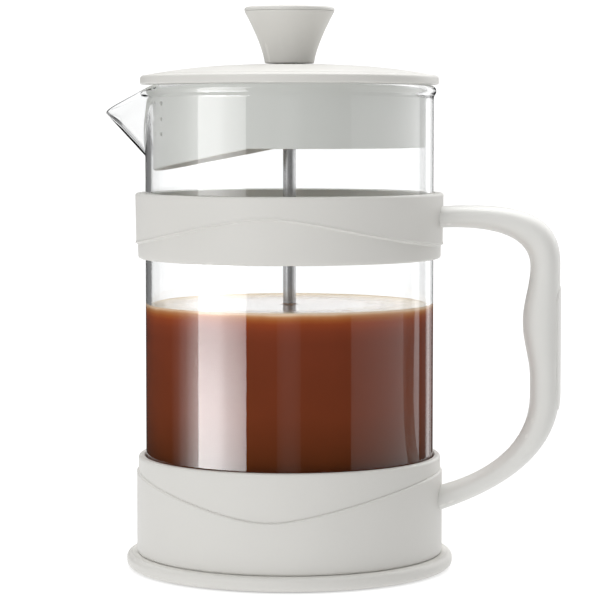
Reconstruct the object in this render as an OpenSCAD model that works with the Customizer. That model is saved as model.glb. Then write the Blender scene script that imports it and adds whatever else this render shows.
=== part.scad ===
// French press: a glass beaker held in a plastic frame with a loop handle, closed by a domed lid
// with a strainer skirt, a plunger rod and a filter stack.
// Millimetres. The origin is the centre of the foot's underside, +Z runs up the beaker's axis,
// +X points to the handle and -X to the spout.
// The plunger is drawn pushed fully down, with its knob resting on the lid.

/* [Glass beaker] */
// Outer diameter of the glass
glass_d = 98; // [90:0.5:104]
// Thickness of the glass wall
glass_wall = 1.8; // [1.4:0.1:2.2]
// Height of the glass rim above the table
rim_z = 164; // [158:0.5:172]
// Height of the underside of the glass above the table
glass_base_z = 8.5; // [8.5:0.1:9.5]
// Distance from the beaker's axis to the tip of the spout
spout_reach = 63.5; // [60:0.5:66]
// Half of the angle that the spout's mouth takes out of the rim
spout_half_angle = 26; // [20:1:30]

/* [Frame] */
// Outer diameter of the foot
foot_d = 111.4; // [108:0.2:116]
// Outer diameter of the base cup
cup_d = 104.4; // [103:0.1:106]
// Height of the base cup's rim above the table
cup_top_z = 38.4; // [34:0.2:44]
// Outer diameter of the band at its upper edge
band_d = 104.9; // [104:0.1:108]
// Height of the band's lower edge above the table
band_bottom_z = 105.5; // [100:0.5:108]
// Height of the band from its lower to its upper edge
band_h = 22.2; // [20:0.2:26]
// Depth of the step along the wave on the band and the cup
wave_step = 0.6; // [0.3:0.1:0.8]

/* [Handle] */
// Distance from the beaker's axis to the outside of the handle
handle_reach = 92; // [86:0.5:98]
// Height of the top of the handle's upper arm where it leaves the band
handle_top_z = 123.2; // [120:0.2:124]
// Width of the handle across the grip
grip_w = 18; // [15:0.5:22]
// Width of the handle's two ends
root_w = 14.6; // [12:0.2:16]
// Thickness of the grip from front to back
grip_t = 10; // [8:0.5:12]
// How far the finger swell stands into the grip's opening
finger_swell = 2.5; // [0:0.1:4]
// Width of the pad on the back of the grip
pad_w = 12; // [7:0.5:13]

/* [Lid] */
// Outer diameter of the lid
lid_d = 101.4; // [101:0.1:104]
// Height of the lid from its lower edge to the top of its dome
lid_h = 6.9; // [6:0.1:9]
// Outer diameter of the strainer skirt
skirt_d = 92.6; // [91:0.1:93.2]
// Depth of the skirt below the glass rim on the handle's side
skirt_short = 21; // [16:0.5:24]
// Depth of the skirt below the glass rim at the spout
skirt_long = 29; // [24:0.5:34]
// Diameter of a strainer hole
strainer_hole_d = 1.5; // [1:0.1:2.5]

/* [Plunger] */
// Diameter of the plunger rod
rod_d = 4.4; // [4:0.1:5]
// Diameter of the knob at its top
knob_top_d = 30.6; // [26:0.2:34]
// Diameter of the knob where it meets the lid
knob_base_d = 16.8; // [14:0.2:19]
// Height of the knob with its cap
knob_h = 19.5; // [16:0.5:24]

/* [Hidden] */
$fn = 96;

plastic = [0.82, 0.81, 0.79];
steel = [0.78, 0.78, 0.79];
dark_rubber = [0.32, 0.32, 0.33];
brass = [0.80, 0.66, 0.36];

gap = 0.3;            // clearance between parts that move apart
run_fit = 0.05;       // radial clearance of a sliding or turning fit
eps = 0.01;

glass_r = glass_d / 2;
bore_r = glass_r - glass_wall;
glass_floor = 2.5;
corner_r = 6;         // outside corner of the glass's bottom
bead_r = 1.95;        // round bead along the rim
bead_out = 0.85;      // how far the bead stands out from the wall

spout_tip_z = rim_z - 10.1;
spout_tip_r = 4.5;
spout_foot_z = rim_z - 25;
spout_wall = 1.6;

frame_bore_r = glass_r + gap;
foot_z = 0.5;         // the non-slip ring lifts the foot this far off the table
foot_top_z = 5.2;
foot_round = 1.8;
ring_in_r = 44;
ring_out_r = 50;
ring_h = 2;

cup_r = cup_d / 2;
cup_floor = 2;
drain_r = 20;
cushion_r = 38;
cushion_h = glass_base_z - gap - foot_top_z - cup_floor;
cup_wave_z = 22.2;     // height of the wave's low points, at the front and the back
cup_wave_rise = 14.1;

band_r = band_d / 2;
band_taper = 0.35;    // the band is this much smaller in radius at its lower edge
band_top_z = band_bottom_z + band_h;
band_wave_z = band_bottom_z + 15.15;
band_wave_rise = -12.7;
wave_bend = 0.23;      // how softly the waves turn at the front and the back
edge_round = 0.9;

arm_t = 7.3;          // thickness of the upper arm where it leaves the band
grip_top_z = handle_top_z - 19.2;
grip_bottom_z = 60;
swell_z = 84.5;
swell_half = 19;
lower_root_z = 19.4;
lower_root_t = 8.4;
root_x = 50;
pad_top_z = 96.8;
pad_bottom_z = 54.5;
pad_proud = 0.35;
pad_depth = 1.5;

screw_r = 1.7;
screw_head_r = 3.6;
screw_head_h = 1.9;
screw_head_x = frame_bore_r + 0.2;
screw_tip_x = 58.5;
upper_screw_z = handle_top_z - 3.6;
lower_screw_z = 25.2;
screw_zs = [upper_screw_z, lower_screw_z];

lid_r = lid_d / 2;
lid_bottom_z = rim_z + gap;
lid_top_z = lid_bottom_z + lid_h;
lid_shell = 2.2;
dome_r = 46.3;
dome_drop = 3.2;
dome_power = 2.6;     // flat in the middle and falling faster towards the edge
skirt_seat_z = lid_bottom_z + 1.2;
skirt_r = skirt_d / 2;
skirt_wall = 1.6;
hub_r = 8.5;
hub_bottom_z = rim_z - 3;
bush_r = 4.5;
flange_r = 6.5;
flange_h = 1.8;
skirt_slope_x = -7;   // towards the spout from here the skirt's edge slopes down
strainer_rows = [rim_z - 6.2, rim_z - 11.4, rim_z - 16.4];
strainer_columns = 9;
strainer_pitch = 8.5;

rod_r = rod_d / 2;
thread_r = 2;
rod_bottom_z = 12.2;
rod_step_z = 22;
plate_z = 16;         // underside of the lower filter plate
cross_t = 1;
mesh_t = 0.5;
spiral_t = 1;
mesh_z = plate_z + cross_t;
spiral_z = mesh_z + mesh_t;
collar_z = spiral_z + spiral_t;
cross_r = bore_r - 3.7;
mesh_r = bore_r - 1;
spring_r = 1.65;
spring_ring_r = bore_r - gap - spring_r;
spiral_r = spring_ring_r - spring_r;
collar_r = 6;
collar_h = 6;
nut_across = 9;
nut_h = 3;

knob_z = lid_top_z + gap;
cap_h = 1.9;
knob_body_h = knob_h - cap_h;
insert_r = 4;
insert_h = 10;
insert_z = knob_z + 0.5;

// Points of an arc about c from angle a0 to a1
function arc(c, r, a0, a1, n = 6) =
    [for (i = [0:n]) let (a = a0 + (a1 - a0) * i / n) [c[0] + r * cos(a), c[1] + r * sin(a)]];

// A point of the cubic Bezier curve with the four control points p
function bezier(p, t) =
    pow(1 - t, 3) * p[0] + 3 * t * pow(1 - t, 2) * p[1] + 3 * t * t * (1 - t) * p[2]
    + pow(t, 3) * p[3];

// A smooth hump from 0 at |u| = 1 to 1 at u = 0
function hump(u) = abs(u) < 1 ? (1 + cos(180 * u)) / 2 : 0;

// Height of a wave round a cylinder of radius r, as a function of x: nearly straight flanks that
// meet in a soft bend at x = 0
function wave(x, r, z, rise) =
    z + rise * (sqrt(x * x / (r * r) + wave_bend * wave_bend) - wave_bend);

// Height of the lid's top surface at the distance r from the axis
function dome(r) = lid_top_z - dome_drop * pow(r / dome_r, dome_power);

// A ring turned from a rectangle
module ring(r_in, r_out, z, h) {
    rotate_extrude()
        translate([r_in, z])
            square([r_out - r_in, h]);
}

// Everything outside radius r on one side of a wave, from x = -r - 2 to r + 2
module wave_cutter(r, z, rise, far_z) {
    steps = 48;
    reach = r + 2;
    edge = [for (i = [0:steps]) let (x = -reach + 2 * reach * i / steps)
        [x, wave(min(r, max(-r, x)), r, z, rise)]];
    difference() {
        translate([0, reach, 0])
            rotate([90, 0, 0])
                linear_extrude(2 * reach)
                    polygon(concat([[-reach, far_z]], edge, [[reach, far_z]]));
        translate([0, 0, -1])
            cylinder(r = r, h = rim_z);
    }
}

// The outside of the band, which the handle's upper end is shaped to
module band_outside() {
    translate([0, 0, band_bottom_z])
        cylinder(r1 = band_r - band_taper, r2 = band_r, h = band_h);
}

// ---- Frame ----

module non_slip_ring() {
    color(dark_rubber)
        ring(ring_in_r, ring_out_r, 0, ring_h);
}

module foot_ring() {
    r = foot_d / 2;
    color(plastic)
        difference() {
            rotate_extrude()
                polygon(concat(
                    [[0, foot_z]],
                    arc([r - foot_round, foot_z + foot_round], foot_round, -90, 0),
                    arc([r - foot_round, foot_top_z - foot_round], foot_round, 0, 90),
                    [[0, foot_top_z]]
                ));
            ring(ring_in_r, ring_out_r, 0, ring_h);
        }
}

module base_cup() {
    floor_z = foot_top_z + cup_floor;
    color(plastic)
        difference() {
            rotate_extrude()
                polygon(concat(
                    [[drain_r, foot_top_z], [cup_r, foot_top_z]],
                    arc([cup_r - edge_round, cup_top_z - edge_round], edge_round, 0, 90),
                    [[frame_bore_r, cup_top_z], [frame_bore_r, floor_z], [drain_r, floor_z]]
                ));
            wave_cutter(cup_r - wave_step, cup_wave_z, cup_wave_rise, cup_top_z + 1);
            screw_bore(lower_screw_z, cup_r + 1);
        }
}

module glass_cushion() {
    color(dark_rubber)
        translate([0, 0, foot_top_z + cup_floor])
            cylinder(r = cushion_r, h = cushion_h);
}

module upper_band() {
    low_r = band_r - band_taper;
    color(plastic)
        difference() {
            rotate_extrude()
                polygon(concat(
                    [[frame_bore_r, band_bottom_z]],
                    arc([low_r - edge_round, band_bottom_z + edge_round], edge_round, -90, 0),
                    arc([band_r - edge_round, band_top_z - edge_round], edge_round, 0, 90),
                    [[frame_bore_r, band_top_z]]
                ));
            wave_cutter(
                low_r - wave_step, band_wave_z, band_wave_rise, band_bottom_z - 1
            );
            screw_bore(upper_screw_z, band_r + 1);
        }
}

// A countersunk hole through the frame's wall from the inside, along +X
module screw_bore(z, end_x) {
    translate([frame_bore_r - 1, 0, z])
        rotate([0, 90, 0])
            cylinder(r = screw_r + 0.1, h = end_x - frame_bore_r + 1);
    translate([frame_bore_r - 1, 0, z])
        rotate([0, 90, 0])
            cylinder(r = screw_head_r + 0.2, h = 1.2);
    translate([screw_head_x - eps, 0, z])
        rotate([0, 90, 0])
            cylinder(r1 = screw_head_r + 0.2, r2 = screw_r + 0.1, h = screw_head_h + 0.1);
}

module handle_screws() {
    color(steel)
        for (z = screw_zs)
            translate([screw_head_x, 0, z])
                rotate([0, 90, 0])
                    difference() {
                        union() {
                            cylinder(r1 = screw_head_r, r2 = screw_r, h = screw_head_h);
                            cylinder(r = screw_r, h = screw_tip_x - screw_head_x);
                        }
                        // cross recess in the head
                        for (turn = [0, 90])
                            rotate([0, 0, turn])
                                translate([-2, -0.4, -eps])
                                    cube([4, 0.8, 1.2]);
                    }
}

// Outline of the handle's outer side, from the band (s = 0) to the cup (s = 3)
function outer_side(s) =
    s < 1 ? bezier([
        [root_x, handle_top_z],
        [handle_reach - 16, handle_top_z + 1.6],
        [handle_reach, handle_top_z - 0.7],
        [handle_reach, grip_top_z]
    ], s)
    : s < 2 ? [handle_reach, grip_top_z + (grip_bottom_z - grip_top_z) * (s - 1)]
    : bezier([
        [handle_reach, grip_bottom_z],
        [handle_reach - 0.5, grip_bottom_z - 20],
        [handle_reach - 18, lower_root_z + 8.1],
        [root_x, lower_root_z]
    ], s - 2);

// Outline of the side that the fingers close round
function inner_side(s) =
    let (x = handle_reach - grip_t)
    s < 1 ? bezier([
        [root_x, handle_top_z - arm_t],
        [x - 16, handle_top_z - arm_t + 1],
        [x, handle_top_z - arm_t - 1],
        [x, grip_top_z - 1]
    ], s)
    : s < 2 ? let (z = grip_top_z - 1 + (grip_bottom_z - grip_top_z + 1) * (s - 1))
        [x - finger_swell * hump((z - swell_z) / swell_half), z]
    : bezier([
        [x, grip_bottom_z],
        [x, grip_bottom_z - 17],
        [x - 14, lower_root_z + lower_root_t + 4.7],
        [root_x, lower_root_z + lower_root_t]
    ], s - 2);

// One closed section of the handle, a rounded rectangle that is rounder at the grip
function handle_section(s, grow, sides) =
    let (
        a = outer_side(s),
        b = inner_side(s),
        mid = (a + b) / 2,
        half = norm(a - b) / 2,
        dir = (a - b) / norm(a - b),
        roundness = hump((s - 1.5) / 1.5),
        width = (root_w + (grip_w - root_w) * roundness) / 2 + grow,
        power = 2 / (3.2 - 0.8 * roundness)
    )
    [for (i = [0:sides - 1]) let (
            t = 360 * i / sides,
            u = sign(cos(t)) * pow(abs(cos(t)), power) * (half + grow),
            v = sign(sin(t)) * pow(abs(sin(t)), power) * width
        ) [mid[0] + dir[0] * u, v, mid[1] + dir[1] * u]];

// The handle's solid before it is shaped to the frame
module handle_loft(grow = 0) {
    sides = 28;
    rings = 44;
    sections = [for (j = [0:rings]) handle_section(2.9999 * j / rings, grow, sides)];
    points = [for (section = sections) each section];
    walls = [for (j = [0:rings - 1]) for (i = [0:sides - 1])
        [j * sides + i, j * sides + (i + 1) % sides,
            (j + 1) * sides + (i + 1) % sides, (j + 1) * sides + i]];
    first = [for (i = [sides - 1:-1:0]) i];
    last = [for (i = [0:sides - 1]) rings * sides + i];
    polyhedron(points, concat(walls, [first, last]), convexity = 6);
}

// Long rounded prism that marks out the pad on the back of the grip
module pad_outline() {
    r = pad_w / 2;
    x = handle_reach - pad_depth;
    for (z = [pad_bottom_z + r, pad_top_z - r])
        translate([x, 0, z])
            rotate([0, 90, 0])
                cylinder(r = r, h = pad_depth + 3);
    translate([x, -r, pad_bottom_z + r])
        cube([pad_depth + 3, pad_w, pad_top_z - pad_bottom_z - pad_w]);
}

module handle() {
    color(plastic)
        difference() {
            handle_loft();
            band_outside();
            cylinder(r = cup_r, h = cup_top_z);
            pad_outline();
            for (z = screw_zs)
                translate([root_x, 0, z])
                    rotate([0, 90, 0])
                        cylinder(r = screw_r, h = screw_tip_x - root_x + 0.5);
        }
}

module handle_pad() {
    color(plastic)
        intersection() {
            handle_loft(pad_proud);
            pad_outline();
        }
}

// ---- Beaker ----

// A solid wedge from the wall to the spout's tip; the inner one is smaller and open at the top
module spout_wedge(inset, up) {
    angle = spout_half_angle - (inset > 0 ? 4 : 0);
    mouth_r = glass_r - 1.4 - inset;
    hull() {
        for (i = [-3:3])
            rotate([0, 0, 180 + angle * i / 3])
                translate([mouth_r, 0, rim_z - 3.4 + inset])
                    cylinder(r = 1.2, h = 3 - inset + up, $fn = 24);
        translate([-(spout_reach - spout_tip_r), 0, spout_tip_z + inset])
            cylinder(r = spout_tip_r - inset, h = 1.7 - inset + up, $fn = 32);
        translate([-(glass_r - 1.7 - inset), 0, spout_foot_z + inset])
            cylinder(r = 1.5, h = 1, $fn = 24);
    }
}

module glass_beaker() {
    floor_z = glass_base_z + glass_floor;
    inner_corner = corner_r - glass_wall;
    bead_x = glass_r + bead_out - bead_r;
    lip_r = 0.8;
    color([0.85, 0.93, 0.96, 0.35])
        difference() {
            union() {
                rotate_extrude()
                    polygon(concat(
                        [[0, glass_base_z]],
                        arc([glass_r - corner_r, glass_base_z + corner_r], corner_r, -90, 0),
                        [[glass_r, rim_z - 2 * bead_r - 0.4]],
                        arc([bead_x, rim_z - bead_r], bead_r, -35, 90, 8),
                        arc([bore_r + lip_r, rim_z - lip_r], lip_r, 100, 180, 4),
                        arc([bore_r - inner_corner, floor_z + inner_corner],
                            inner_corner, 0, -90),
                        [[0, floor_z]]
                    ));
                difference() {
                    spout_wedge(0, 0);
                    translate([0, 0, spout_foot_z - 10])
                        cylinder(r = bore_r + 0.4, h = 60);
                }
            }
            spout_wedge(spout_wall, 12);
        }
}

// ---- Lid ----

module guide_bush() {
    flange_z = hub_bottom_z - gap - flange_h;
    color(steel)
        difference() {
            union() {
                translate([0, 0, flange_z])
                    cylinder(r = flange_r, h = flange_h);
                translate([0, 0, flange_z + flange_h - eps])
                    cylinder(r = bush_r, h = lid_top_z - gap - flange_z - flange_h);
            }
            translate([0, 0, flange_z - 1])
                cylinder(r = rod_r + run_fit, h = lid_top_z);
        }
}

module lid_cover() {
    rim_round = 1.15;
    shoulder_z = lid_top_z - dome_drop - 0.4;
    seat_r = skirt_r + 0.3;
    dome_steps = 14;
    top = [for (i = [0:dome_steps]) let (
            r = dome_r + (bush_r + run_fit - dome_r) * i / dome_steps
        ) [r, dome(r)]];
    under = [for (i = [0:8]) let (r = hub_r + (skirt_r - 3 - hub_r) * i / 8)
        [r, dome(r) - lid_shell]];
    color(plastic)
        rotate_extrude()
            polygon(concat(
                [[bush_r + run_fit, hub_bottom_z], [hub_r, hub_bottom_z]],
                under,
                [[skirt_r - 3, skirt_seat_z], [seat_r, skirt_seat_z], [seat_r, lid_bottom_z]],
                arc([lid_r - 0.5, lid_bottom_z + 0.5], 0.5, -90, 0, 3),
                arc([lid_r - rim_round, shoulder_z - 0.55 - rim_round], rim_round, 0, 80),
                [[dome_r + 1.1, shoulder_z], [dome_r + 0.6, shoulder_z - 0.35]],
                top
            ));
}

module strainer_skirt() {
    far = skirt_r + 1;
    low_z = rim_z - skirt_long - 5;
    short_z = rim_z - skirt_short;
    color(plastic)
        difference() {
            ring(skirt_r - skirt_wall, skirt_r, rim_z - skirt_long,
                skirt_seat_z - rim_z + skirt_long);
            translate([0, far, 0])
                rotate([90, 0, 0])
                    linear_extrude(2 * far)
                        polygon([
                            [-far, low_z], [-skirt_r, rim_z - skirt_long],
                            [skirt_slope_x, short_z], [far, short_z], [far, low_z]
                        ]);
            for (z = strainer_rows)
                for (i = [0:strainer_columns - 1])
                    rotate([0, 0, 180 + strainer_pitch * (i - (strainer_columns - 1) / 2)])
                        translate([skirt_r - skirt_wall - 1, 0, z])
                            rotate([0, 90, 0])
                                cylinder(d = strainer_hole_d, h = skirt_wall + 2, $fn = 24);
        }
}

// ---- Plunger ----

module knob() {
    steps = 16;
    flare = (knob_top_d - knob_base_d) / 2;
    side = [for (i = [0:steps]) let (t = i / steps)
        [knob_base_d / 2 + flare * pow(t, 1.4), knob_z + knob_body_h * t]];
    color(plastic)
        difference() {
            rotate_extrude()
                polygon(concat([[0, knob_z]], side, [[0, knob_z + knob_body_h]]));
            translate([0, 0, knob_z - eps])
                cylinder(r = insert_r, h = insert_z + insert_h - knob_z + eps);
        }
}

module knob_cap() {
    r = knob_top_d / 2;
    z = knob_z + knob_body_h;
    round_r = 1.1;
    color(plastic)
        rotate_extrude()
            polygon(concat(
                [[0, z], [r, z]],
                arc([r - round_r, z + cap_h - 0.4 - round_r], round_r, 0, 80),
                [[r - 6, z + cap_h - 0.05], [0, z + cap_h]]
            ));
}

module knob_insert() {
    color(brass)
        ring(thread_r, insert_r, insert_z, insert_h);
}

module plunger_rod() {
    shoulder_z = insert_z - 0.5;
    color(steel)
        union() {
            translate([0, 0, rod_bottom_z])
                cylinder(r = thread_r, h = insert_z + insert_h - rod_bottom_z);
            translate([0, 0, rod_step_z])
                cylinder(r = rod_r, h = shoulder_z - rod_step_z);
        }
}

module rod_collar() {
    chamfer = 1;
    color(steel)
        rotate_extrude()
            polygon([
                [thread_r, collar_z], [collar_r, collar_z],
                [collar_r, collar_z + collar_h - chamfer],
                [collar_r - chamfer, collar_z + collar_h],
                [rod_r, collar_z + collar_h], [rod_r, rod_step_z], [thread_r, rod_step_z]
            ]);
}

// Through holes spaced evenly on a circle
module hole_circle(count, hole_d, circle_r, turn = 0) {
    for (i = [0:count - 1])
        rotate([0, 0, turn + 360 * i / count])
            translate([circle_r, 0, -1])
                cylinder(d = hole_d, h = 4, $fn = 32);
}

module spiral_plate() {
    color(steel)
        translate([0, 0, spiral_z])
            difference() {
                cylinder(r = spiral_r, h = spiral_t);
                translate([0, 0, -1])
                    cylinder(r = thread_r, h = 4);
                hole_circle(6, 9, 15);
                hole_circle(12, 9, 26, 15);
                hole_circle(20, 7, 37);
            }
}

// The outer shape of the fine coil spring that seals the plate's edge against the glass
module edge_spring() {
    color(steel)
        translate([0, 0, spiral_z + spring_r + 0.05])
            rotate_extrude()
                translate([spring_ring_r, 0])
                    circle(r = spring_r);
}

module mesh_screen() {
    color([0.66, 0.66, 0.67])
        ring(thread_r, mesh_r, mesh_z, mesh_t);
}

module cross_plate() {
    color(steel)
        translate([0, 0, plate_z])
            difference() {
                cylinder(r = cross_r, h = cross_t);
                translate([0, 0, -1])
                    cylinder(r = thread_r, h = 4);
                hole_circle(4, 17, 21);
                hole_circle(4, 11, 21, 45);
                hole_circle(16, 8, 36, 11.25);
            }
}

module cross_plate_nut() {
    color(steel)
        translate([0, 0, plate_z - nut_h])
            difference() {
                cylinder(r = nut_across / 2 / cos(30), h = nut_h, $fn = 6);
                translate([0, 0, -1])
                    cylinder(r = thread_r, h = nut_h + 2);
            }
}

non_slip_ring();
foot_ring();
base_cup();
glass_cushion();
upper_band();
handle();
handle_pad();
handle_screws();
glass_beaker();
guide_bush();
lid_cover();
strainer_skirt();
knob();
knob_cap();
knob_insert();
plunger_rod();
rod_collar();
spiral_plate();
edge_spring();
mesh_screen();
cross_plate();
cross_plate_nut();
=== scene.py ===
"""The looks of a french press: a glass beaker in a plastic frame, a lid and a plunger."""

import math

import bmesh
import bpy
import numpy as np
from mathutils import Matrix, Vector
from mathutils.bvhtree import BVHTree


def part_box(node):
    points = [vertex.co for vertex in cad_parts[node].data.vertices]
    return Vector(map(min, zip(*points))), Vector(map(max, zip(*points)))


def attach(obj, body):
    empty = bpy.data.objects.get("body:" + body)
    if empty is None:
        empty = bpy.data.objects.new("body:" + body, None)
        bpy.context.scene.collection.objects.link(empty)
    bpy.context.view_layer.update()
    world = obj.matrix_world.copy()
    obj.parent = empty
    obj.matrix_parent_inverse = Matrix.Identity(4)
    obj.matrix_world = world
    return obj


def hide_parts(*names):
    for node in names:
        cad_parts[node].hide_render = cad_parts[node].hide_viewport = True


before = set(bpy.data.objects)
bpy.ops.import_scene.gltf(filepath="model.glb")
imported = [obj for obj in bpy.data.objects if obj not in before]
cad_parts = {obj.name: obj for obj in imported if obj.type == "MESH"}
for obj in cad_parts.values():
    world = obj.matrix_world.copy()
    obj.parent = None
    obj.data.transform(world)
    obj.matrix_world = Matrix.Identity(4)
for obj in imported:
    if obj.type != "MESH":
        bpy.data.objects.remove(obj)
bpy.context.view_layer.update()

MM = 0.001
TAU = 2 * math.pi


# ---- Sizes, in millimetres ----


def span(node, axis):
    """The lowest and highest value of a CAD node along an axis."""
    low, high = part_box(node)
    return low[axis] / MM, high[axis] / MM


FOOT_Z, FOOT_TOP = span("foot_ring", 2)
FOOT_R = span("foot_ring", 1)[1]
CUP_Z, CUP_TOP = span("base_cup", 2)
CUP_R = span("base_cup", 1)[1]
BAND_Z, BAND_TOP = span("upper_band", 2)
BAND_R = span("upper_band", 1)[1]
GLASS_Z, RIM_Z = span("glass_beaker", 2)
HUB_Z, LID_TOP = span("lid_cover", 2)
LID_R = span("lid_cover", 1)[1]
SKIRT_Z, SKIRT_TOP = span("strainer_skirt", 2)
SKIRT_R = span("strainer_skirt", 1)[1]
KNOB_Z, KNOB_TOP = span("knob", 2)
KNOB_R = span("knob", 1)[1]
CAP_TOP = span("knob_cap", 2)[1]
BUSH_Z, BUSH_TOP = span("guide_bush", 2)
ROD_Z, ROD_TOP = span("plunger_rod", 2)
ROD_R = span("plunger_rod", 1)[1]
COLLAR_Z, COLLAR_TOP = span("rod_collar", 2)
SPRING_Z, SPRING_TOP = span("edge_spring", 2)
SPRING_OUT = span("edge_spring", 1)[1]
PAD_Z, PAD_TOP = span("handle_pad", 2)
PAD_HALF = span("handle_pad", 1)[1]
HANDLE_REACH = span("handle", 0)[1]
CUSHION_Z, CUSHION_TOP = span("glass_cushion", 2)
CUSHION_R = span("glass_cushion", 1)[1]
GRIP_RING_Z, GRIP_RING_TOP = span("non_slip_ring", 2)
GRIP_RING_R = span("non_slip_ring", 1)[1]

BEAD_R, BEAD_OUT = 1.95, 0.85
GLASS_R = span("glass_beaker", 1)[1] - BEAD_OUT
BORE_R = GLASS_R - 1.8
GLASS_FLOOR = GLASS_Z + 2.5
FRAME_BORE = GLASS_R + 0.3
WAVE_STEP = 0.6
# height of the coffee, and how far it climbs the glass and the rod
COFFEE_LEVEL, CLIMB, ROD_CLIMB = 89.6, 0.45, 0.35
# how close a closed outline comes to the axis, and the width of a band that keeps an edge crisp
NEAR_AXIS, SUPPORT = 0.001, 0.1


# ---- Meshes ----


def in_scene(name, data):
    """A new object in the scene."""
    made = bpy.data.objects.new(name, data)
    bpy.context.scene.collection.objects.link(made)
    return made


def add_object(name, mesh, materials, body, replaced=()):
    """Puts a finished mesh in the scene as a piece of one CAD body."""
    for item in materials:
        mesh.materials.append(item)
    piece = in_scene(name, mesh)
    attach(piece, body)
    if replaced:
        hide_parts(*replaced)
    return piece


def shade(mesh, sharp):
    """Smooth shading, with a crease wherever faces meet at more than sharp degrees."""
    mesh.polygons.foreach_set("use_smooth", [True] * len(mesh.polygons))
    mesh.set_sharp_from_angle(angle=math.radians(sharp))
    return mesh


def build_mesh(name, points, faces, sharp=38):
    """A smooth-shaded mesh from points in millimetres, with its normals facing out."""
    mesh = bpy.data.meshes.new(name)
    mesh.from_pydata((np.asarray(points, float) * MM).tolist(), [], faces)
    shell = bmesh.new()
    shell.from_mesh(mesh)
    bmesh.ops.recalc_face_normals(shell, faces=shell.faces)
    shell.to_mesh(mesh)
    shell.free()
    return shade(mesh, sharp)


def grid_faces(rows, columns, close_rows=False, close_columns=True, start=0):
    """The quads of a grid of points stored row by row."""
    faces = []
    for j in range(rows if close_rows else rows - 1):
        below, above = start + j * columns, start + (j + 1) % rows * columns
        for i in range(columns if close_columns else columns - 1):
            k = (i + 1) % columns
            faces.append((below + i, below + k, above + k, above + i))
    return faces


def rounded(corners, steps=5, support=0.12):
    """A closed outline through (radius, height, fillet) corners, each turned on an arc."""
    outline = []
    count = len(corners)
    for i, (r, z, fillet) in enumerate(corners):
        here = np.array([r, z], float)
        before = np.array(corners[i - 1][:2], float) - here
        after = np.array(corners[(i + 1) % count][:2], float) - here
        u, v = before / np.linalg.norm(before), after / np.linalg.norm(after)
        if fillet <= 0:
            outline.append(here)
            continue
        angle = math.acos(np.clip(u @ v, -1, 1))
        reach = fillet / math.tan(angle / 2)
        middle = here + (u + v) / np.linalg.norm(u + v) * fillet / math.sin(angle / 2)
        first, last = here + u * reach, here + v * reach
        outline.append(first + u * support)
        a, b = first - middle, last - middle
        turn = math.acos(np.clip(a @ b / (fillet * fillet), -1, 1))
        for t in np.arange(steps + 1) / steps:
            way = math.sin((1 - t) * turn) * a + math.sin(t * turn) * b
            outline.append(middle + way / math.sin(turn))
        outline.append(last + v * support)
    return outline


def arc(r, z, radius, first, last, count):
    """Points on an arc about (r, z) between two angles in degrees."""
    turns = np.radians(np.linspace(first, last, count))
    return [(r + radius * math.cos(a), z + radius * math.sin(a)) for a in turns]


def ring_points(rows, angles):
    """Points round the axis for (radius, height) rows; both may change with the angle."""
    points = []
    for row in rows:
        r, z = (np.broadcast_to(value, angles.shape) for value in row)
        points += list(zip(r * np.cos(angles), r * np.sin(angles), z))
    return points


def end_fans(rows, columns):
    """Triangles from the first and last ring to the two points after them, on the axis."""
    first, last, top = rows * columns, rows * columns + 1, (rows - 1) * columns
    faces = [(first, (i + 1) % columns, i) for i in range(columns)]
    return faces + [(last, top + i, top + (i + 1) % columns) for i in range(columns)]


def turned_mesh(name, outline, steps=180, closed=True, sharp=38):
    """A solid turned from an outline; an open outline starts and ends on the axis."""
    rings = outline if closed else outline[1:-1]
    points = ring_points(rings, np.arange(steps) / steps * TAU)
    faces = grid_faces(len(rings), steps, close_rows=closed)
    if not closed:
        points += [(0, 0, outline[0][1]), (0, 0, outline[-1][1])]
        faces += end_fans(len(rings), steps)
    return build_mesh(name, points, faces, sharp)


def cut(mesh, cutters, sharp=38):
    """Takes closed meshes away from a mesh."""
    target = in_scene("cut_target", mesh)
    tools = [in_scene("cut_tool", cutter) for cutter in cutters]
    for tool in tools:
        change = target.modifiers.new("cut", "BOOLEAN")
        change.object = tool
        change.solver = "EXACT"
    bpy.context.view_layer.update()
    solid = target.evaluated_get(bpy.context.evaluated_depsgraph_get())
    result = bpy.data.meshes.new_from_object(solid)
    for item in [target, *tools]:
        bpy.data.objects.remove(item)
    return shade(result, sharp)


def rods_mesh(name, ends, radius, sides):
    """Separate round rods in one mesh, from (start, end) pairs of points; radius may be a pair."""
    first_r, last_r = radius if isinstance(radius, tuple) else (radius, radius)
    points, faces = [], []
    for start, end in ends:
        start, end = Vector(start), Vector(end)
        along = (end - start).normalized()
        across = along.orthogonal().normalized()
        other = along.cross(across)
        base = len(points)
        for centre, r in ((start, first_r), (end, last_r)):
            for i in range(sides):
                a = TAU * i / sides
                points.append(centre + (across * math.cos(a) + other * math.sin(a)) * r)
        faces += grid_faces(2, sides, start=base)
        faces.append(tuple(range(base + sides - 1, base - 1, -1)))
        faces.append(tuple(range(base + sides, base + 2 * sides)))
    return build_mesh(name, points, faces)


def smooth_step(t):
    t = np.clip(t, 0, 1)
    return t * t * (3 - 2 * t)


def smooth_max(a, b, soft):
    return 0.5 * (a + b + np.sqrt((a - b) ** 2 + soft * soft))


# ---- Materials ----


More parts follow.
